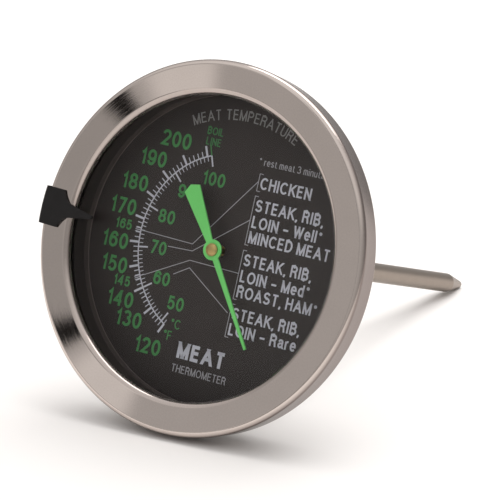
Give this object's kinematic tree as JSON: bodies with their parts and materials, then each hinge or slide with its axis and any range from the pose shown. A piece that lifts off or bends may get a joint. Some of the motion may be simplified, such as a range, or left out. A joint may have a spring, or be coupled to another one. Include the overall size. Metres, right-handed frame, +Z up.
{
  "type": "meat thermometer",
  "caption": "Bimetal dial thermometer for meat: round steel head with glazed black dial, turning pointer and sliding rim marker on a slim stem with a conical tip.",
  "frame": {"origin": "bottom centre of the whole thermometer as it rests on a table, on the lower edge of its rim and the tip of its stem", "axes": "+Z up, +Y along the table from the dial towards the stem's tip, +X to the right of a person reading the dial"},
  "size_m": [0.0706, 0.1146, 0.0675],
  "materials": {
    "bezel_steel": "satin, fine grain round the rim",
    "case_steel": "satin",
    "lens_glass": "clear, polished",
    "gasket_rubber": "matt silicone",
    "dial_black": "matt black lacquer with printed scale",
    "spacer_black": "satin black",
    "stem_steel": "satin drawn tube",
    "inner_brass": "turned",
    "bimetal_strip": "rolled strip",
    "pointer_green": "matt green lacquer",
    "marker_plastic": "moulded matt black"
  },
  "bodies": {
    "case": {"bezel_ring": "bezel_steel", "bimetal_coil": "bimetal_strip", "case_back": "case_steel", "coil_anchor": "stem_steel", "collar_nut": "case_steel", "collar_seal": "gasket_rubber", "dial_plate": "dial_black", "dial_spacer_ring": "spacer_black", "lens": "lens_glass", "lens_gasket": "gasket_rubber", "lower_guide_bush": "inner_brass", "stem_collar": "case_steel", "stem_tip": "stem_steel", "stem_tube": "stem_steel", "upper_guide_bush": "inner_brass"},
    "needle": {"pointer": "pointer_green", "pointer_hub": "inner_brass", "spindle": "stem_steel", "coil_ferrule": "inner_brass"},
    "marker": {"target_marker": "marker_plastic"}
  },
  "joints": [
    {"name": "pointer_turn", "type": "hinge", "parent": "case", "child": "needle", "pos_m": [0.00029, -0.04665, 0.03453], "axis": [0, 0.9505, -0.3108], "range_deg": [-47, 207], "stiffness_Nm_per_rad": 0.0002},
    {"name": "marker_slide", "type": "hinge", "parent": "case", "child": "marker", "pos_m": [0.00029, -0.04665, 0.03453], "axis": [0, 0.9505, -0.3108], "continuous": true}
  ]
}
